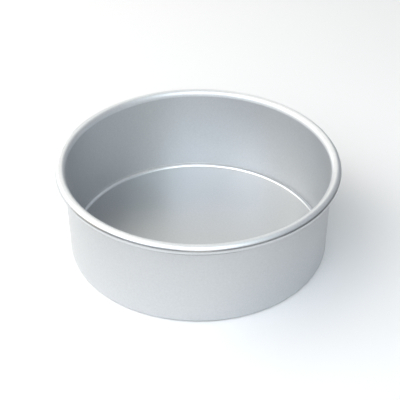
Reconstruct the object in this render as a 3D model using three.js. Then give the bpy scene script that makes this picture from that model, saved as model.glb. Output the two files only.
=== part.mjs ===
// A round, deep cake pan with a lift-out base, in millimetres, +Z up.
// The wall is one spun sheet. At the foot it turns in to make a seat for the base, it leans out
// slightly as it rises, and at the mouth it is rolled outwards round a steel wire.
// The base is a loose plate with a turned-up edge. It lies on the seat, fills the corner with its
// edge, and is pushed up through the mouth from below.
// The origin is on the pan's axis, in the plane that the pan stands on.

import * as THREE from "three";

// Driving dimensions of the wall
const mouthDiameter = 203.2; // inside, where the wall runs into the rolled rim
const panHeight = 75; // standing plane to the top of the rim
const sheetThickness = 0.8; // of the wall, its seat and its rolled rim
const draftAngle = 1; // degrees that the wall leans out from upright
const beadDiameter = 7.4; // outside of the rolled rim
const curlGap = 0.4; // between the rolled sheet's raw edge and the wall
const seatRound = 2; // inside radius where the wall turns in to the seat
const seatWidth = 8; // flat ring inside that round

// Driving dimensions of the base
const baseThickness = 0.8;
const baseClearance = 0.6; // between the wall and the widest that the turned-up edge could reach
const baseTurnUp = 86; // degrees that the edge turns up from the floor
const baseRoundEase = 0.5; // by which the edge's inside radius is larger than the seat's

// Driving dimensions of the wire in the rim
const wireClearance = 0.3; // all round the wire, inside the rolled rim
const wireJointGap = 0.8; // between the wire's two ends
const wireJointAngle = -66; // degrees round from +X to the joint

// Fineness of the faceted solids
const facetsRound = 72; // round the pan's axis
const arcStep = 18; // degrees in one step of a profile's arc, a whole share of a quarter turn
const wireSides = 10;

// Finishes
const satinAluminium = { color: 0xc4c9cc, roughness: 0.4, metalness: 1 };
const zincedSteel = { color: 0x9a9da0, roughness: 0.5, metalness: 1 };

const { degToRad, radToDeg } = THREE.MathUtils;
const draft = degToRad(draftAngle);

// The rolled rim's section is round, and the wall's inside face runs into it at a tangent.
const beadRadius = beadDiameter / 2;
const beadBore = beadRadius - sheetThickness; // radius of the hollow in the roll
const beadCentre = new THREE.Vector2(
  mouthDiameter / 2 + beadRadius * Math.cos(draft),
  panHeight - beadRadius,
);

// The roll starts where it leaves the wall and stops short of the wall's outside face.
const curlStart = 180 - draftAngle;
const curlOpening = radToDeg(Math.acos((beadBore - curlGap) / beadRadius));
const curlEnd = curlStart - (360 - curlOpening);

// The seat's round touches the seat's top face and the wall's inside face.
const seatRoundHeight = sheetThickness + seatRound;
const wallTopHeight = beadCentre.y + beadRadius * Math.sin(draft);
const seatRoundRadius =
  mouthDiameter / 2 -
  ((wallTopHeight - seatRoundHeight) * Math.sin(draft) + seatRound) / Math.cos(draft);
const seatRoundCentre = new THREE.Vector2(seatRoundRadius, seatRoundHeight);
const seatHoleRadius = seatRoundRadius - seatWidth;

// The base's edge turns up on a larger radius than the seat's, so its back clears the seat's round.
const baseRound = seatRound + baseRoundEase;
const baseBackRound = baseRound + baseThickness;
const baseFlatRadius = seatRoundRadius + seatRound - baseClearance - baseBackRound;

// Points on an arc about a centre, from one angle to another, in degrees: both ends and, between
// them, the whole steps from 0, so that a roll's top and its widest point are always among them.
function arc(centre, radius, from, to) {
  const low = Math.ceil((Math.min(from, to) + arcStep / 4) / arcStep);
  const high = Math.floor((Math.max(from, to) - arcStep / 4) / arcStep);
  const between = Array.from({ length: high - low + 1 }, (_, i) => (low + i) * arcStep);
  const angles = [from, ...(from < to ? between : between.reverse()), to];
  return angles.map((angle) => {
    const offset = new THREE.Vector2(Math.cos(degToRad(angle)), Math.sin(degToRad(angle)));
    return offset.multiplyScalar(radius).add(centre);
  });
}

// A solid turned about +Z, from a profile of points (radius, height).
function turned(profile) {
  return new THREE.LatheGeometry(profile, facetsRound).rotateX(Math.PI / 2);
}

// A named piece with its own finish.
function piece(name, geometry, finish) {
  const mesh = new THREE.Mesh(geometry, new THREE.MeshStandardMaterial(finish));
  mesh.name = name;
  return mesh;
}

// The wall: its outside face from the seat's hole up into the roll, then its inside face back down.
function makePanWall() {
  const outside = [
    new THREE.Vector2(seatHoleRadius, 0),
    ...arc(seatRoundCentre, seatRound + sheetThickness, -90, -draftAngle),
    ...arc(beadCentre, beadBore, curlStart, curlEnd),
  ];
  const inside = [
    ...arc(beadCentre, beadRadius, curlEnd, curlStart),
    ...arc(seatRoundCentre, seatRound, -draftAngle, -90),
    new THREE.Vector2(seatHoleRadius, sheetThickness),
  ];
  const profile = [...outside, ...inside, outside[0]];
  return piece("pan_wall", turned(profile), satinAluminium);
}

// The loose base: a flat round plate with its edge turned up, lying on the seat.
function makeLooseBase() {
  const roundCentre = new THREE.Vector2(baseFlatRadius, baseBackRound);
  const edgeAngle = baseTurnUp - 90;
  const profile = [
    new THREE.Vector2(0, 0),
    ...arc(roundCentre, baseBackRound, -90, edgeAngle),
    ...arc(roundCentre, baseRound, edgeAngle, -90),
    new THREE.Vector2(0, baseThickness),
  ];
  const base = piece("loose_base", turned(profile), satinAluminium);
  base.position.z = sheetThickness;
  return base;
}

// The line of the wire: once round the rim, less the gap between its ends.
class WireLine extends THREE.Curve {
  getPoint(share, target = new THREE.Vector3()) {
    const halfGap = wireJointGap / 2 / beadCentre.x;
    const sweep = 2 * (Math.PI - halfGap);
    const angle = degToRad(wireJointAngle) + halfGap + sweep * share;
    return target.set(
      beadCentre.x * Math.cos(angle),
      beadCentre.x * Math.sin(angle),
      beadCentre.y,
    );
  }
}

// The wire inside the rolled rim, which keeps the mouth round.
function makeRimWire() {
  const section = new THREE.Shape();
  section.absarc(0, 0, beadBore - wireClearance, 0, 2 * Math.PI);
  const wire = new THREE.ExtrudeGeometry(section, {
    steps: facetsRound,
    curveSegments: wireSides / 2,
    bevelEnabled: false,
    extrudePath: new WireLine(),
  });
  return piece("rim_wire", wire, zincedSteel);
}

const cakePan = new THREE.Group();
cakePan.add(makePanWall(), makeLooseBase(), makeRimWire());

export default cakePan;
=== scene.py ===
"""Looks of a round cake pan with a rolled rim and a loose base.

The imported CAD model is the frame. Each of its nodes is replaced by a finely turned surface of the same
form in satin metal. The pan stands on a pale table in soft studio light, seen from where the photograph
was taken. Lengths are in metres and angles in degrees, with +Z up and the photograph's camera on the
side of -Y.
"""

import logging
import math
from dataclasses import dataclass, field, replace
from enum import Enum
from typing import Any, Optional, Union

import bpy
import numpy as np
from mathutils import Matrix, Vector


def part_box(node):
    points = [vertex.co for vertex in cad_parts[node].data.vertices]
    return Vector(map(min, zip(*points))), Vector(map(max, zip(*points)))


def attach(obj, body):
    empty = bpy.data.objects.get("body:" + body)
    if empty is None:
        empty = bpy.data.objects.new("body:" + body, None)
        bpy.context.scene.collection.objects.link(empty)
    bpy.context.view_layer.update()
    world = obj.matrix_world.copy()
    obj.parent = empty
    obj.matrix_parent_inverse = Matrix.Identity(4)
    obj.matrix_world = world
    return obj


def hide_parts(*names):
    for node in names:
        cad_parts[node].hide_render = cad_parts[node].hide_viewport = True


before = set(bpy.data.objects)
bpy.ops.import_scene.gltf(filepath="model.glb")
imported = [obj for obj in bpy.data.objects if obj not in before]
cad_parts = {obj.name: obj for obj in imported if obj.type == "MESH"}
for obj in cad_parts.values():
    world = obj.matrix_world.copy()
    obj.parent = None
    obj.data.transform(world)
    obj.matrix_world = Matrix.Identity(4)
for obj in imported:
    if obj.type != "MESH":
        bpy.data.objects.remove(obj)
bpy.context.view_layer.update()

MM = 0.001
EDGE_POINTS = 9
ON_AXIS = 1e-9
log = logging.getLogger("cake_pan")

Colour = tuple[float, float, float]
Feed = Union["Signal", bpy.types.NodeSocket, float, tuple]


class Signal:
    """A shader value. Arithmetic on it adds Math nodes to its graph."""

    def __init__(self, graph: "ShaderGraph", socket: bpy.types.NodeSocket) -> None:
        """Wraps one output socket of a graph."""
        self.graph = graph
        self.socket = socket

    def math(self, operation: str, *values: Feed) -> "Signal":
        """Adds one Math node.

        Args:
            operation: the node's operation, such as MULTIPLY.
            values: the node's inputs, in order.

        Returns:
            The node's result.
        """
        inputs = dict(enumerate(values))
        made = self.graph.node("ShaderNodeMath", {"operation": operation}, inputs)
        return Signal(self.graph, made.outputs[0])

    def __add__(self, other: Feed) -> "Signal":
        """Sum."""
        return self.math("ADD", self, other)

    def __radd__(self, other: Feed) -> "Signal":
        """Sum with a number on the left."""
        return self.math("ADD", other, self)

    def __sub__(self, other: Feed) -> "Signal":
        """Difference."""
        return self.math("SUBTRACT", self, other)

    def __rsub__(self, other: Feed) -> "Signal":
        """Difference from a number on the left."""
        return self.math("SUBTRACT", other, self)

    def __mul__(self, other: Feed) -> "Signal":
        """Product."""
        return self.math("MULTIPLY", self, other)

    def __rmul__(self, other: Feed) -> "Signal":
        """Product with a number on the left."""
        return self.math("MULTIPLY", other, self)

    def __truediv__(self, other: Feed) -> "Signal":
        """Quotient."""
        return self.math("DIVIDE", self, other)

    def __pow__(self, other: Feed) -> "Signal":
        """Power."""
        return self.math("POWER", self, other)

    def between(self, low: float, high: float) -> "Signal":
        """Smooth step: 0 below low, 1 above high, and eased in between.

        Args:
            low: the value at which the step starts.
            high: the value at which it ends; under low, the step falls.

        Returns:
            The eased value.
        """
        settings = {"interpolation_type": "SMOOTHSTEP"}
        inputs = {"Value": self, "From Min": low, "From Max": high}
        return self.graph.signal("ShaderNodeMapRange", "Result", settings, inputs)


class ShaderGraph:
    """The nodes of one material or world."""

    def __init__(self, tree: bpy.types.NodeTree) -> None:
        """Takes over a node tree and empties it."""
        self.tree = tree
        tree.nodes.clear()

    def feed(self, socket: bpy.types.NodeSocket, value: Feed) -> None:
        """Links a value to an input socket, or sets it there."""
        if isinstance(value, Signal):
            self.tree.links.new(value.socket, socket)
        elif isinstance(value, bpy.types.NodeSocket):
            self.tree.links.new(value, socket)
        else:
            socket.default_value = value

    def node(
        self,
        kind: str,
        settings: Optional[dict[str, Any]] = None,
        inputs: Optional[dict[Union[str, int], Feed]] = None,
    ) -> bpy.types.Node:
        """Adds one node.

        Args:
            kind: the node's type name.
            settings: the node's own properties, set before its inputs.
            inputs: values or links, by socket name or number.

        Returns:
            The new node.
        """
        made = self.tree.nodes.new(kind)
        for name, value in (settings or {}).items():
            setattr(made, name, value)
        for name, value in (inputs or {}).items():
            self.feed(made.inputs[name], value)
        return made

    def signal(
        self, kind: str, output: str, settings: dict[str, Any], inputs: dict[Any, Feed]
    ) -> Signal:
        """Adds one node and returns one of its outputs as a value."""
        return Signal(self, self.node(kind, settings, inputs).outputs[output])

    def parts(self, vector: bpy.types.NodeSocket) -> list[Signal]:
        """The three parts of a vector."""
        split = self.node("ShaderNodeSeparateXYZ", None, {0: vector})
        return [Signal(self, part) for part in split.outputs]

    def noise(
        self, vector: bpy.types.NodeSocket, scale: float, detail: float, roughness: float
    ) -> Signal:
        """Noise from 0 to 1, about 0.5 in the middle.

        Args:
            vector: where the noise is read.
            scale: how many of its lumps there are in a unit of that.
            detail: how many finer layers there are.
            roughness: how strong the finer layers are.

        Returns:
            The noise's value.
        """
        inputs = {"Vector": vector, "Scale": scale, "Detail": detail, "Roughness": roughness}
        return self.signal("ShaderNodeTexNoise", "Fac", {"noise_dimensions": "3D"}, inputs)

    def output(self, kind: str, surface: bpy.types.NodeSocket) -> None:
        """Ends the graph at a material's or world's output node."""
        self.node(kind, None, {"Surface": surface})


class Turn(Enum):
    """The way in which a bend leads, seen along the line."""

    LEFT = 1
    RIGHT = -1


class Crowd(Enum):
    """The end of a straight stretch at which its points lie closest."""

    NEITHER = "neither"
    END = "end"


class CentreLine:
    """The middle line of a bent sheet's section, in (radius, height).

    It is drawn by walking: straight stretches and round bends follow one another, and each one starts in
    the direction in which the last one ended.
    """

    BEND_STEP = 5.0
    CROWDING = 2.5

    def __init__(self, radius: float, height: float) -> None:
        """Starts at a point, heading outwards from the axis."""
        self.points = np.array([[radius, height]])
        self.headings = np.array([0.0])

    def straight(self, length: float, steps: int, crowd: Crowd = Crowd.NEITHER) -> "CentreLine":
        """Walks straight on, in steps that are equal or shorten towards the end as a power of their number.

        Args:
            length: how far.
            steps: in how many steps.
            crowd: the end at which the steps are short.

        Returns:
            The line itself.
        """
        heading = self.headings[-1]
        share = np.linspace(0, 1, steps + 1)[1:]
        if crowd is Crowd.END:
            share = 1 - (1 - share) ** self.CROWDING
        along = length * share[:, None]
        self._add(self.points[-1] + along * self.direction(heading), np.full(steps, heading))
        return self

    def bend(self, radius: float, angle: float, turn: Turn) -> "CentreLine":
        """Walks round a bend: points at one radius from a centre that lies square to the heading.

        Args:
            radius: of the bend.
            angle: how far it goes round.
            turn: which way it goes.

        Returns:
            The line itself.
        """
        steps = math.ceil(angle / self.BEND_STEP)
        centre = self.points[-1] + turn.value * radius * self.normal(self.headings[-1])
        headings = self.headings[-1] + turn.value * np.radians(np.linspace(0, angle, steps + 1)[1:])
        self._add(centre - turn.value * radius * self.normal(headings), headings)
        return self

    def _add(self, points: np.ndarray, headings: np.ndarray) -> None:
        """Puts new points at the line's end."""
        self.points = np.concatenate([self.points, points])
        self.headings = np.concatenate([self.headings, headings])

    @staticmethod
    def direction(heading: Union[float, np.ndarray]) -> np.ndarray:
        """Unit vector along a heading, which is in radians from the outward one."""
        return np.stack([np.cos(heading), np.sin(heading)], axis=-1)

    @staticmethod
    def normal(heading: Union[float, np.ndarray]) -> np.ndarray:
        """Unit vector square to a heading, on its left."""
        return np.stack([-np.sin(heading), np.cos(heading)], axis=-1)

    def face(self, offset: Union[float, np.ndarray]) -> np.ndarray:
        """The line moved sideways: each point plus its offset times its left normal."""
        return self.points + np.reshape(offset, (-1, 1)) * self.normal(self.headings)


def raw_edge(start: np.ndarray, end: np.ndarray, depth: float) -> np.ndarray:
    """A sheet's smoothed raw edge: half an ellipse from the end of one face to that of the other.

    Args:
        start: where the first face ends, with the edge standing out on the right of the way to the other.
        end: where the other face starts.
        depth: how far the edge stands out.

    Returns:
        The points between the two.
    """
    middle = (start + end) / 2
    half = (end - start) / 2
    out = depth * np.array([half[1], -half[0]]) / np.hypot(*half)
    swing = np.radians(np.linspace(-90, 90, EDGE_POINTS + 2))[1:-1, None]
    return middle + np.sin(swing) * half + np.cos(swing) * out


@dataclass
class SurfaceGrid:
    """A surface of rows of points, where every row runs once round and meets its own start.

    Args:
        points: rows x columns x 3.
        rows_meet: True if the last row joins the first, as on a ring.
        across: how far along the surface each row lies, for the UV map, with one more entry where
            rows_meet, and the poles' entries at its ends where not.
        poles: the two points that close the first and last rows, where rows_meet is False.
    """

    points: np.ndarray
    rows_meet: bool
    across: np.ndarray
    poles: Optional[np.ndarray] = None

    @staticmethod
    def turned(outline: np.ndarray, steps: int) -> "SurfaceGrid":
        """Turns an outline about the axis: (r, z) at angle a goes to (r cos a, r sin a, z).

        Args:
            outline: points (radius, height), anticlockwise round the material. It is closed, or
                starts and ends on the axis.
            steps: how many columns there are round the axis.

        Returns:
            The surface.
        """
        on_axis = outline[0, 0] < ON_AXIS and outline[-1, 0] < ON_AXIS
        rows = outline[1:-1] if on_axis else outline
        ends = outline if on_axis else np.concatenate([outline, outline[:1]])
        across = np.concatenate([[0], np.cumsum(np.hypot(*np.diff(ends, axis=0).T))])
        angles = np.linspace(0, 2 * np.pi, steps, endpoint=False)
        points = np.empty((len(rows), steps, 3))
        points[..., 0] = rows[:, :1] * np.cos(angles)
        points[..., 1] = rows[:, :1] * np.sin(angles)
        points[..., 2] = rows[:, 1:]
        poles = np.insert(outline[[0, -1]], 1, 0, axis=1) if on_axis else None
        return SurfaceGrid(points, not on_axis, across, poles)

    def make(self, name: str) -> bpy.types.Object:
        """Puts the surface into a mesh of quads, with fans at its poles and a UV map in (turns, metres).

        Args:
            name: of the object and its mesh.

        Returns:
            The new object, linked to the scene.
        """
        count, columns = self.points.shape[:2]
        row = np.arange(count if self.rows_meet else count - 1)[:, None]
        column = np.arange(columns)[None]
        low, high = row % count * columns, (row + 1) % count * columns
        after = (column + 1) % columns
        quads = np.stack([low + column, low + after, high + after, high + column], axis=-1)
        quads = quads.reshape(-1, 4)
        first = 0 if self.rows_meet else 1
        v_low, v_high = self.across[row + first], self.across[row + first + 1]
        u_low, u_high = column / columns, (column + 1) / columns
        corners = [(u_low, v_low), (u_high, v_low), (u_high, v_high), (u_low, v_high)]
        pairs = [np.stack(np.broadcast_arrays(*corner), axis=-1) for corner in corners]
        quad_uv = np.stack(pairs, axis=2).reshape(-1, 2)
        vertices = self.points.reshape(-1, 3)
        fans, fan_uv = np.empty((0, 3), int), np.empty((0, 2))
        if self.poles is not None:
            vertices, fans, fan_uv = self._fans(vertices, column[0], after[0])
        return build_object(name, vertices, [quads, fans], np.concatenate([quad_uv, fan_uv]))

    def _fans(
        self, vertices: np.ndarray, column: np.ndarray, after: np.ndarray
    ) -> tuple[np.ndarray, ...]:
        """Closes the first and last rows with triangles to their poles.

        Args:
            vertices: the grid's points.
            column: column numbers.
            after: the number of the column that follows each one.

        Returns:
            The vertices with the poles added, the triangles, and the UVs of their corners.
        """
        last = len(vertices) - len(column)
        bottom = np.full_like(column, len(vertices))
        top = bottom + 1
        fans = np.concatenate([
            np.stack([bottom, after, column], axis=-1),
            np.stack([last + column, last + after, top], axis=-1),
        ])
        u_low, u_high = column / len(column), (column + 1) / len(column)
        middle = (u_low + u_high) / 2
        u = np.concatenate([
            np.stack([middle, u_high, u_low], axis=-1),
            np.stack([u_low, u_high, middle], axis=-1),
        ])
        v = np.repeat(self.across[[[0, 1, 1], [-2, -2, -1]]], len(column), axis=0)
        uv = np.stack([u, v], axis=-1).reshape(-1, 2)
        return np.concatenate([vertices, self.poles]), fans, uv


def build_object(
    name: str, vertices: np.ndarray, faces: list[np.ndarray], uv: np.ndarray
) -> bpy.types.Object:
    """Makes a smooth-shaded mesh object at the origin from whole arrays.

    Args:
        name: of the object and its mesh.
        vertices: points, n x 3.
        faces: arrays of faces, each with one number of corners.
        uv: a pair for each corner, in the order of the faces.

    Returns:
        The new object, linked to the scene.
    """
    mesh = bpy.data.meshes.new(name)
    sizes = np.concatenate([np.full(len(f), f.shape[1]) for f in faces])
    corners = np.concatenate([f.ravel() for f in faces])
    mesh.vertices.add(len(vertices))
    mesh.vertices.foreach_set("co", vertices.astype(np.float32).ravel())
    mesh.loops.add(len(corners))
    mesh.loops.foreach_set("vertex_index", corners.astype(np.int32))
    mesh.polygons.add(len(sizes))
    mesh.polygons.foreach_set("loop_start", (np.cumsum(sizes) - sizes).astype(np.int32))
    mesh.polygons.foreach_set("use_smooth", np.ones(len(sizes), bool))
    mesh.uv_layers.new(name="UVMap").data.foreach_set("uv", uv.astype(np.float32).ravel())
    mesh.update(calc_edges=True)
    mesh.validate()
    made = bpy.data.objects.new(name, mesh)
    bpy.context.scene.collection.objects.link(made)
    return made


@dataclass(frozen=True)
class WearAndSheen:
    """A place past a cone round the axis, where a metal's finish has changed or its tone is raised as a
    painted sheen.

    The distance from the origin is measured along a direction that leans in towards the axis: height times
    the lean's cosine, less radius times its sine.

    Args:
        lean: of that direction, from upright: 0 measures the height, and -90 the radius.
        start: the distance at which the change starts.
        full: and where it is complete.
        tone: share of the plain tone that is left, or more than 1 where a sheen is painted on.
        roughness: what is added to the plain roughness.
        metal: how metallic the surface still looks, from 0 to 1.
    """

    lean: float
    start: float
    full: float
    tone: float = 1.0
    roughness: float = 0.0
    metal: float = 1.0

    def mask(self, radius: Signal, height: Signal) -> Signal:
        """1 where the finish has changed and 0 where it is plain."""
        lean = math.radians(self.lean)
        return (height * math.cos(lean) - radius * math.sin(lean)).between(self.start, self.full)


@dataclass(frozen=True)
class PaintedCreaseShade:
    """Painted shade: a dark line painted on the wall in the fold under a rolled rim, where the roll shades
    it.

    Args:
        radius: outside which it lies.
        low: the height at which it starts.
        high: the height at which it ends, under the roll.
        tone: share of the plain tone that is left there.
        soft: height over which it fades in and out; across the radius it takes half of that.
    """

    radius: float
    low: float
    high: float
    tone: float
    soft: float = 0.6 * MM

    def mask(self, radius: Signal, height: Signal) -> Signal:
        """1 where the shade is painted and 0 elsewhere."""
        outside = radius.between(self.radius - self.soft / 4, self.radius + self.soft / 4)
        above = height.between(self.low, self.low + self.soft)
        under = height.between(self.high + self.soft, self.high)
        return outside * above * under


@dataclass(frozen=True)
class SatinMetal:
    """A metal with a fine satin finish and faint marks of turning.

    Its tone and gloss drift slowly over the surface, it is finely mottled, a fine grain roughens it, faint
    hoops follow the way it was turned, and its gloss changes in rubbed places, where a raised tone paints a
    sheen; painted shade can darken the fold under a rim.

    Args:
        name: of the material.
        tone: the metal's colour.
        roughness: of the plain satin.
        drift: share by which tone and gloss drift.
        mottle: share by which the tone varies from one fine fleck to the next.
        grain: height of the grain.
        hoops: height of the turning marks.
        stretch: how far the gloss is drawn out across the turning marks, from 0 to 1.
        wears_and_sheens: where the finish has changed, and where a raised tone paints a sheen.
        painted_crease_shade: painted shade in the fold under the rim.
    """

    name: str
    tone: Colour
    roughness: float
    drift: float
    mottle: float
    grain: float
    hoops: float
    stretch: float = 0.0
    wears_and_sheens: tuple[WearAndSheen, ...] = ()
    painted_crease_shade: Optional[PaintedCreaseShade] = None

    # Noise settings: scale, detail and roughness
    DRIFT_NOISE = (28.0, 2.0, 0.5)
    MOTTLE_NOISE = (650.0, 2.0, 0.6)
    GRAIN_NOISE = (2600.0, 1.0, 0.5)
    HOOP_NOISE = (1.0, 3.0, 0.6)
    HOOP_PITCH = 0.5 * MM
    HOOP_RUN = 35 * MM
    GRAIN_GLOSS = 0.05
    HOOP_GLOSS = 0.06
    QUARTER_TURN = 0.25

    def material(self) -> bpy.types.Material:
        """Makes the material's nodes.

        Returns:
            The new material.
        """
        made = bpy.data.materials.new(self.name)
        made.use_nodes = True
        graph = ShaderGraph(made.node_tree)
        place = graph.node("ShaderNodeTexCoord")
        here = place.outputs["Object"]
        drift = graph.noise(here, *self.DRIFT_NOISE) - 0.5
        mottle = graph.noise(here, *self.MOTTLE_NOISE) - 0.5
        grain = graph.noise(here, *self.GRAIN_NOISE)
        east, north, height = graph.parts(here)
        along = graph.parts(place.outputs["UV"])[1]
        turned = graph.node(
            "ShaderNodeCombineXYZ",
            None,
            {"X": east / self.HOOP_RUN, "Y": north / self.HOOP_RUN, "Z": along / self.HOOP_PITCH},
        )
        hoops = graph.noise(turned.outputs[0], *self.HOOP_NOISE)
        radius = (east * east + north * north) ** 0.5
        gloss = self.roughness + drift * self.drift
        gloss = gloss + (grain - 0.5) * self.GRAIN_GLOSS + (hoops - 0.5) * self.HOOP_GLOSS
        shade = 1 + drift * self.drift + mottle * self.mottle
        metal = 1.0
        # roughness and metal change where rubbed; a tone over 1 is a painted sheen (painted highlight)
        for wear_or_sheen in self.wears_and_sheens:
            worn_or_sheen = wear_or_sheen.mask(radius, height)
            shade = shade * (1 + worn_or_sheen * (wear_or_sheen.tone - 1))
            gloss = gloss + worn_or_sheen * wear_or_sheen.roughness
            metal = metal * (1 + worn_or_sheen * (wear_or_sheen.metal - 1))
        # painted shade: the tone is darkened in the fold under the rim
        if self.painted_crease_shade:
            shade = shade * (1 + self.painted_crease_shade.mask(radius, height) * (self.painted_crease_shade.tone - 1))
        tone = graph.node(
            "ShaderNodeMix",
            {"data_type": "RGBA", "blend_type": "MULTIPLY"},
            {"Factor": 1.0, 6: (*self.tone, 1.0), 7: self._shade(graph, shade)},
        )
        relief = graph.node(
            "ShaderNodeBump",
            None,
            {"Strength": 1.0, "Distance": 1.0, "Height": grain * self.grain + hoops * self.hoops},
        )
        shader = graph.node(
            "ShaderNodeBsdfPrincipled",
            None,
            {
                "Base Color": tone.outputs[2],
                "Metallic": metal,
                "Roughness": gloss,
                "Anisotropic": self.stretch,
                "Anisotropic Rotation": self.QUARTER_TURN,
                "Normal": relief.outputs[0],
            },
        )
        graph.output("ShaderNodeOutputMaterial", shader.outputs[0])
        return made

    @staticmethod
    def _shade(graph: ShaderGraph, value: Signal) -> bpy.types.NodeSocket:
        """Makes a grey colour of a value."""
        return graph.node("ShaderNodeCombineColor", None, {0: value, 1: value, 2: value}).outputs[0]


@dataclass
class PanSizes:
    """Sizes of the pan, taken from the frame where it shows them.

    Args:
        draft: how far the wall leans out from upright.
        seat_round: inside radius where the wall turns in to the seat.
        seat_width: flat ring inside that round.
        curl_gap: between the rolled sheet's raw edge and the wall.
        base_thickness: of the loose base.
        base_back_round: radius of the back of its turned-up edge.
        wire_gap: between the ends of the rim's wire.
        wire_joint: angle round the rim at which they meet.
    """

    draft: float = 1.0
    seat_round: float = 2 * MM
    seat_width: float = 8 * MM
    curl_gap: float = 0.4 * MM
    base_thickness: float = 0.8 * MM
    base_back_round: float = 3.3 * MM
    wire_gap: float = 0.8 * MM
    wire_joint: float = -66.0
    height: float = field(init=False)
    sheet: float = field(init=False)
    bead_radius: float = field(init=False)
    bead_ring: float = field(init=False)
    bead_height: float = field(init=False)
    wire_radius: float = field(init=False)

    def __post_init__(self) -> None:
        """Reads the rim and the seat's top from the frame."""
        wall, base, wire = (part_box(node) for node in ("pan_wall", "loose_base", "rim_wire"))
        self.height = wall[1].z
        self.sheet = base[0].z
        self.bead_height = (wire[0].z + wire[1].z) / 2
        self.bead_radius = self.height - self.bead_height
        self.bead_ring = wall[1].x - self.bead_radius
        self.wire_radius = (wire[1].z - wire[0].z) / 2

    @property
    def floor(self) -> float:
        """Height of the base's upper face."""
        return self.sheet + self.base_thickness

    @property
    def lean(self) -> float:
        """The wall's draft in radians."""
        return math.radians(self.draft)

    def wall_inside(self, height: Union[float, np.ndarray]) -> Union[float, np.ndarray]:
        """Radius of the wall's plain inside face: the mouth's, less the drop times the draft's tangent.

        Args:
            height: where it is wanted.

        Returns:
            The radius.
        """
        mouth = self.bead_ring - self.bead_radius * math.cos(self.lean)
        top = self.bead_height + self.bead_radius * math.sin(self.lean)
        return mouth - (top - height) * math.tan(self.lean)

    def past_rim(self, lean: float, past: float) -> float:
        """Distance, measured as for Wear, of a place past the middle of the rolled rim's section.

        Args:
            lean: of the direction in which it is measured.
            past: how far past the middle the place is.

        Returns:
            The distance from the origin.
        """
        angle = math.radians(lean)
        return self.bead_height * math.cos(angle) - self.bead_ring * math.sin(angle) + past


@dataclass(frozen=True)
class Cove:
    """The rounded corner inside the pan: a quarter of an ellipse between the floor and the wall.

    At angle t it lies the width times 1 - sin t in from the wall, and the height times 1 - cos t over the
    floor. The base's edge makes its lower part. The wall's inside face stands in to meet it, and soon
    runs out.

    Args:
        width: how far it reaches in from the wall.
        height: how far it reaches up from the floor.
        split: height over the floor at which the base's edge ends.
        slit: height that is left clear over that edge.
        fade: height over which the wall's part runs out, as the square of the share still to go.
        edge: thickness of the base at its edge.
        play: clear width round the edge.
    """

    width: float = 2.75 * MM
    height: float = 6 * MM
    split: float = 2.3 * MM
    slit: float = 0.25 * MM
    fade: float = 1.5 * MM
    edge: float = 0.25 * MM
    play: float = 0.15 * MM

    def angle(self, rise: float) -> float:
        """The angle, in radians, at which the cove is at a height over the floor."""
        return math.acos(1 - rise / self.height)

    def rise(self, angle: np.ndarray) -> np.ndarray:
        """Height over the floor at an angle."""
        return self.height * (1 - np.cos(angle))

    def stand_in(self, angle: np.ndarray) -> np.ndarray:
        """Distance in from the wall at an angle."""
        return self.width * (1 - np.sin(angle))


@dataclass
class PanWall:
    """The spun wall with its seat and rolled rim, one sheet from end to end.

    Args:
        sizes: of the pan.
        finish: of the sheet.
        cove: the corner inside the pan.
        steps_round: columns of the surface.
        edge_depth: how far the raw edges are rounded.
        seat_steps: points along the seat.
        wall_steps: points up the wall.
        fade_steps: points up the wall's part of the cove.
        fall: shares of the way up behind the base's edge, and of how far the wall then stands in.
    """

    sizes: PanSizes
    finish: SatinMetal
    cove: Cove
    steps_round: int = 360
    edge_depth: float = 0.25 * MM
    seat_steps: int = 8
    wall_steps: int = 24
    fade_steps: int = 12
    fall: tuple[float, ...] = (0.3, 0.6, 0.9, 0.97)

    def centre_line(self) -> CentreLine:
        """The sheet's middle: along the seat, up the wall, and round the roll.

        Returns:
            The line, shortened at both ends by the depth of the raw edges.
        """
        s = self.sizes
        half = s.sheet / 2
        wall_start = s.sheet + s.seat_round * (1 - math.sin(s.lean))
        wall_end = s.bead_height + s.bead_radius * math.sin(s.lean)
        wall_length = (wall_end - wall_start) / math.cos(s.lean)
        seat_end = s.wall_inside(wall_start) - s.seat_round * math.cos(s.lean)
        opening = math.acos((s.bead_radius - s.sheet - s.curl_gap) / s.bead_radius)
        roll = s.bead_radius - half
        roll_angle = 360 - math.degrees(opening + self.edge_depth / roll)
        line = CentreLine(seat_end - s.seat_width + self.edge_depth, half)
        line.straight(s.seat_width - self.edge_depth, self.seat_steps)
        line.bend(s.seat_round + half, 90 - s.draft, Turn.LEFT)
        line.straight(wall_length, self.wall_steps)
        return line.bend(roll, roll_angle, Turn.RIGHT)

    def inside(self, line: CentreLine) -> np.ndarray:
        """The sheet's inside face, which makes the cove's upper part and falls back to the seat under it.

        Args:
            line: the sheet's middle.

        Returns:
            The face's points, in the line's order.
        """
        s, cove = self.sizes, self.cove
        face = line.face(s.sheet / 2)
        round_top = s.sheet + s.seat_round
        start = s.floor + cove.split + cove.slit
        most = cove.stand_in(cove.angle(cove.split + cove.slit))
        share = np.linspace(0, 1, self.fade_steps)
        fall = np.array(self.fall)
        height = np.concatenate([round_top + fall * (start - round_top), start + cove.fade * share])
        stand_in = most * np.concatenate([fall, (1 - share) ** 2])
        corner = np.stack([s.wall_inside(height) - stand_in, height], axis=-1)
        return np.concatenate([face[face[:, 1] < round_top], corner, face[face[:, 1] > height[-1]]])

    def build(self) -> bpy.types.Object:
        """Turns the sheet's outline about the axis and dresses it.

        Returns:
            The piece.
        """
        line = self.centre_line()
        outside, inside = line.face(-self.sizes.sheet / 2), self.inside(line)
        outline = np.concatenate([
            outside,
            raw_edge(outside[-1], inside[-1], self.edge_depth),
            inside[::-1],
            raw_edge(inside[0], outside[0], self.edge_depth),
        ])
        piece = SurfaceGrid.turned(outline, self.steps_round).make("spun_wall")
        piece.data.materials.append(self.finish.material())
        return dressed(piece, "pan", "pan_wall")


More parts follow.
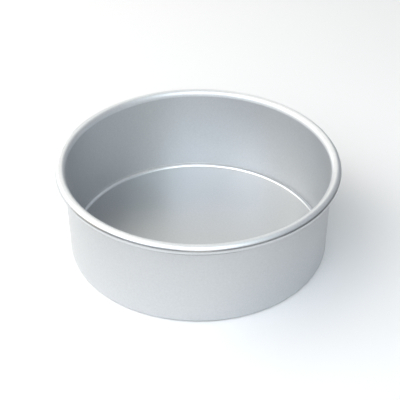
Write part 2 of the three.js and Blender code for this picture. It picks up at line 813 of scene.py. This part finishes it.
@dataclass
class LooseBase:
    """The lift-out base: a flat plate whose edge turns up into the corner and thins out.

    Args:
        sizes: of the pan.
        finish: of the plate.
        cove: the corner inside the pan.
        steps_round: columns of the surface.
        sweep: how far the floor has risen where the cove starts.
        sweep_fade: distance over which that rise fades to about a third, towards the middle.
        cove_steps: points up the cove.
        floor_steps: points along the floor.
        back_steps: points along the underside.
    """

    sizes: PanSizes
    finish: SatinMetal
    cove: Cove
    steps_round: int = 360
    sweep: float = 0.1 * MM
    sweep_fade: float = 5 * MM
    cove_steps: int = 24
    floor_steps: int = 50
    back_steps: int = 12

    def floor(self) -> np.ndarray:
        """The plate's upper face: flat, then up the cove.

        A soft sweep is added to it, which dies away as a power of e towards the middle, and levels off at
        twice its height beyond the start of the cove.

        Returns:
            The face's points, from the axis to the edge.
        """
        s, cove = self.sizes, self.cove
        angles = np.linspace(0, cove.angle(cove.split), self.cove_steps)
        height = s.floor + cove.rise(angles)
        reach = s.wall_inside(height) - cove.stand_in(angles) - cove.edge - cove.play
        flat = CentreLine(0, s.floor).straight(reach[0], self.floor_steps, Crowd.END).points[:-1]
        face = np.concatenate([flat, np.stack([reach, height], axis=-1)])
        past = (face[:, 0] - reach[0]) / self.sweep_fade
        fade = np.exp(-np.abs(past))
        face[:, 1] += self.sweep * np.where(past < 0, fade, 2 - fade)
        return face

    def back(self, edge: np.ndarray) -> np.ndarray:
        """The plate's underside: flat on the seat, then up round the back of the edge.

        Args:
            edge: where the upper face ends.

        Returns:
            The face's points, from the axis to the edge.
        """
        s = self.sizes
        radius = s.base_back_round
        angle = math.acos(1 - (edge[1] - s.sheet) / radius)
        flat = edge[0] + self.cove.edge - radius * math.sin(angle)
        line = CentreLine(0, s.sheet).straight(flat, self.back_steps)
        return line.bend(radius, math.degrees(angle), Turn.LEFT).points

    def build(self) -> bpy.types.Object:
        """Turns the plate's outline about the axis, from the middle of its underside to that of its floor.

        Returns:
            The piece.
        """
        floor = self.floor()
        back = self.back(floor[-1])
        edge = raw_edge(back[-1], floor[-1], self.cove.edge / 2)
        outline = np.concatenate([back, edge, floor[::-1]])
        piece = SurfaceGrid.turned(outline, self.steps_round).make("lift_out_base")
        piece.data.materials.append(self.finish.material())
        return dressed(piece, "base", "loose_base")


@dataclass
class RimWire:
    """The steel wire inside the rolled rim.

    Args:
        sizes: of the pan.
        finish: of the wire.
        steps_along: points along the wire.
        sides: points round its section.
    """

    sizes: PanSizes
    finish: SatinMetal
    steps_along: int = 360
    sides: int = 24

    def build(self) -> bpy.types.Object:
        """Carries a round section along the rim's circle, from one end of the wire to the other.

        A point's radius is the ring's plus the section's times the cosine of the angle round the section,
        and its height is the ring's plus the section's times that angle's sine.

        Returns:
            The piece.
        """
        s = self.sizes
        half_gap = s.wire_gap / 2 / s.bead_ring
        joint = math.radians(s.wire_joint)
        along = joint + np.linspace(half_gap, 2 * np.pi - half_gap, self.steps_along)[:, None]
        round_it = np.linspace(0, 2 * np.pi, self.sides, endpoint=False)[None]
        reach = s.bead_ring + s.wire_radius * np.cos(round_it)
        rise = s.bead_height + s.wire_radius * np.sin(round_it) + 0 * along
        points = np.stack([reach * np.cos(along), reach * np.sin(along), rise], axis=-1)
        run = s.bead_ring * (along[:, 0] - along[0, 0])
        across = np.concatenate([run[:1] - s.wire_radius, run, run[-1:] + s.wire_radius])
        ends = along[[0, -1], 0]
        poles = np.full((2, 3), s.bead_height)
        poles[:, 0] = s.bead_ring * np.cos(ends)
        poles[:, 1] = s.bead_ring * np.sin(ends)
        piece = SurfaceGrid(points, False, across, poles).make("drawn_rim_wire")
        piece.data.materials.append(self.finish.material())
        return dressed(piece, "pan", "rim_wire")


def dressed(piece: bpy.types.Object, body: str, node: str) -> bpy.types.Object:
    """Puts a piece on its CAD body, in the place of its CAD node.

    Args:
        piece: the new piece.
        body: the CAD body that it rides on.
        node: the CAD node that it stands for.

    Returns:
        The piece.
    """
    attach(piece, body)
    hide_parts(node)
    return piece


@dataclass(frozen=True)
class SoftBox:
    """A square area lamp aimed at the pan.

    Args:
        name: of the lamp.
        azimuth: 0 is towards the camera, 90 is to its right.
        elevation: above the table.
        side: the lamp's width.
        power: in watts.
        tint: the light's colour.
        distance: from the pan.
    """

    name: str
    azimuth: float
    elevation: float
    side: float
    power: float
    tint: Colour
    distance: float = 1.5

    def place(self, aim: Vector) -> bpy.types.Object:
        """Puts the lamp in the scene.

        Args:
            aim: the point that it faces.

        Returns:
            The lamp.
        """
        lamp = bpy.data.lights.new(self.name, "AREA")
        lamp.shape = "SQUARE"
        lamp.size = self.side
        lamp.energy = self.power
        lamp.color = self.tint
        made = bpy.data.objects.new(self.name, lamp)
        around, up = math.radians(self.azimuth), math.radians(self.elevation)
        way = Vector((math.sin(around) * math.cos(up), -math.cos(around) * math.cos(up), math.sin(up)))
        made.location = aim + self.distance * way
        made.rotation_euler = way.to_track_quat("Z", "Y").to_euler()
        bpy.context.scene.collection.objects.link(made)
        return made


@dataclass
class Studio:
    """The pale table, the dark card beside the picture, the dim room, the lamps and the camera.

    Args:
        aim: the point that the camera and the lamps face.
        camera_elevation: above the table.
        camera_distance: from the aim.
        lens: focal length in millimetres.
        sensor: width in millimetres.
        camera_clip: nearest and furthest distance that is seen.
        table_half: half of the table's width.
        table_tone: its colour.
        card_front: distance from the axis to the card's front part.
        card_right: to its right part.
        card_left: to its left part.
        card_reach: how far out the card goes.
        card_lift: its height over the table.
        card_tone: its colour.
        surround: brightness of the room.
        surround_tint: its colour.
        boxes: the lamps.
    """

    aim: Vector = field(default_factory=lambda: Vector((1.28 * MM, 0, 36.95 * MM)))
    camera_elevation: float = 36.0
    camera_distance: float = 869.8 * MM
    lens: float = 100.0
    sensor: float = 36.0
    camera_clip: tuple[float, float] = (0.01, 100.0)
    table_half: float = 6.0
    table_tone: Colour = (0.9, 0.9, 0.9)
    card_front: float = 300 * MM
    card_right: float = 240 * MM
    card_left: float = 250 * MM
    card_reach: float = 1.5
    card_lift: float = 1 * MM
    card_tone: Colour = (0.03, 0.03, 0.03)
    surround: float = 0.245
    surround_tint: Colour = (0.84, 0.9, 1.0)
    boxes: tuple[SoftBox, ...] = (
        SoftBox("front_high_box", 0, 68, 1.0, 2.25, (1.0, 0.85, 0.76)),
        SoftBox("front_box", 5, 46, 1.0, 7.47, (0.82, 0.9, 1.0)),
        SoftBox("front_low_box", 0, 16, 0.6, 1.37, (1.0, 0.88, 0.74)),
        SoftBox("front_left_box", -48, 44, 1.0, 9.27, (0.91, 0.95, 0.99)),
        SoftBox("left_high_box", -95, 58, 1.0, 4.16, (1.0, 0.89, 0.75)),
        SoftBox("left_box", -105, 30, 1.2, 8.35, (1.0, 0.98, 0.95)),
        SoftBox("left_low_box", -85, 12, 0.8, 1.3, (1.0, 0.86, 0.64)),
        SoftBox("back_left_box", -140, 18, 0.8, 1.29, (1.0, 0.81, 0.64)),
        SoftBox("back_left_low_box", -145, 9, 0.45, 1.81, (0.94, 0.99, 1.0)),
        SoftBox("back_box", 180, 38, 1.0, 3.12, (1.0, 0.95, 0.85)),
        SoftBox("front_right_high_box", 45, 60, 1.0, 2.3, (0.75, 0.98, 1.0)),
        SoftBox("front_right_box", 40, 28, 0.8, 0.58, (1.0, 0.91, 0.77)),
    )

    def build(self) -> None:
        """Puts everything that isn't the pan in the scene."""
        self._table()
        self._card()
        self._surround()
        for box in self.boxes:
            box.place(self.aim)
        self._camera()

    def _table(self) -> None:
        """A wide flat square at the pan's foot, which can be seen from above only."""
        h = self.table_half
        corners = np.array([[-h, -h, 0], [h, -h, 0], [h, h, 0], [-h, h, 0]])
        table = build_object("table", corners, [np.arange(4)[None]], corners[:, :2])
        made = bpy.data.materials.new("table_white")
        made.use_nodes = True
        graph = ShaderGraph(made.node_tree)
        matte = graph.node("ShaderNodeBsdfDiffuse", None, {"Color": (*self.table_tone, 1.0)})
        clear = graph.node("ShaderNodeBsdfTransparent")
        under = graph.node("ShaderNodeNewGeometry").outputs["Backfacing"]
        sides = {0: under, 1: matte.outputs[0], 2: clear.outputs[0]}
        mixed = graph.node("ShaderNodeMixShader", None, sides)
        graph.output("ShaderNodeOutputMaterial", mixed.outputs[0])
        table.data.materials.append(made)

    def _card(self) -> None:
        """A dark sheet on the table, out of the picture in front of the pan and on both sides of it.

        The pan mirrors it, and nothing else sees it, so the table looks pale from every side. It is three
        rectangles, each from its lowest corner to its highest.
        """
        front, far = -self.card_front, self.card_reach
        left, right = -self.card_left, self.card_right
        low = np.array([[-far, -far], [right, front], [-far, front]])
        high = np.array([[far, front], [far, far], [left, 0]])
        share = np.array([[0, 0], [1, 0], [1, 1], [0, 1]])[None]
        flat = (low[:, None] + share * (high - low)[:, None]).reshape(-1, 2)
        corners = np.insert(flat, 2, self.card_lift, axis=1)
        card = build_object("dark_card", corners, [np.arange(len(corners)).reshape(-1, 4)], flat)
        made = bpy.data.materials.new("card_black")
        made.use_nodes = True
        graph = ShaderGraph(made.node_tree)
        matte = graph.node("ShaderNodeBsdfDiffuse", None, {"Color": (*self.card_tone, 1.0)})
        graph.output("ShaderNodeOutputMaterial", matte.outputs[0])
        card.data.materials.append(made)
        card.visible_camera = False
        card.visible_diffuse = False
        card.visible_shadow = False

    def _surround(self) -> None:
        """A dim, even room round the table."""
        world = bpy.data.worlds.new("studio")
        bpy.context.scene.world = world
        world.use_nodes = True
        graph = ShaderGraph(world.node_tree)
        inputs = {"Color": (*self.surround_tint, 1.0), "Strength": self.surround}
        room = graph.node("ShaderNodeBackground", None, inputs)
        graph.output("ShaderNodeOutputWorld", room.outputs[0])

    def _camera(self) -> None:
        """The photograph's camera."""
        data = bpy.data.cameras.new("photo_camera")
        data.sensor_width = self.sensor
        data.lens = self.lens
        data.clip_start, data.clip_end = self.camera_clip
        camera = bpy.data.objects.new("photo_camera", data)
        up = math.radians(self.camera_elevation)
        back = Vector((0, -math.cos(up), math.sin(up)))
        camera.location = self.aim + self.camera_distance * back
        camera.rotation_euler = back.to_track_quat("Z", "Y").to_euler()
        bpy.context.scene.collection.objects.link(camera)
        bpy.context.scene.camera = camera


def main() -> None:
    """Builds the pan's pieces and the studio."""
    logging.basicConfig(level=logging.INFO, format="%(name)s: %(message)s")
    sizes = PanSizes()
    satin = SatinMetal(
        name="satin_aluminium",
        tone=(0.655, 0.672, 0.685),
        roughness=0.45,
        drift=0.03,
        mottle=0.15,
        grain=3e-6,
        hoops=2e-6,
        stretch=0.5,
        wears_and_sheens=(
            WearAndSheen(
                lean=-30,
                start=sizes.past_rim(-30, -1.5 * MM),
                full=sizes.past_rim(-30, 0),
                roughness=-0.15,
            ),
            # painted sheen: the inner top of the rolled rim lightened and made less metallic, where the
            # light falls on it
            WearAndSheen(
                lean=20,
                start=sizes.past_rim(20, 0),
                full=sizes.past_rim(20, 1.2 * MM),
                tone=1.25,
                roughness=0.12,
                metal=0.65,
            ),
        ),
        # painted shade on the wall just under the rolled rim
        painted_crease_shade=PaintedCreaseShade(radius=102 * MM, low=63.5 * MM, high=68 * MM, tone=0.4),
    )
    # smoother where the base's edge turns up, with a painted highlight from its raised tone
    edge_burnish_and_highlight = WearAndSheen(
        lean=-90,
        start=97.4 * MM,
        full=98.4 * MM,
        tone=1.1,
        roughness=-0.15,
        metal=0.88,
    )
    plate = replace(satin, name="satin_plate", stretch=0.0, wears_and_sheens=(edge_burnish_and_highlight,), painted_crease_shade=None)
    zinc = replace(
        plate,
        name="zinced_wire",
        tone=(0.5, 0.51, 0.52),
        roughness=0.42,
        drift=0.08,
        wears_and_sheens=(),
    )
    cove = Cove()
    parts = (PanWall(sizes, satin, cove), LooseBase(sizes, plate, cove), RimWire(sizes, zinc))
    for part in parts:
        piece = part.build()
    Studio().build()
    bpy.context.scene.view_settings.view_transform = "Standard"


if __name__ == "__main__":
    main()
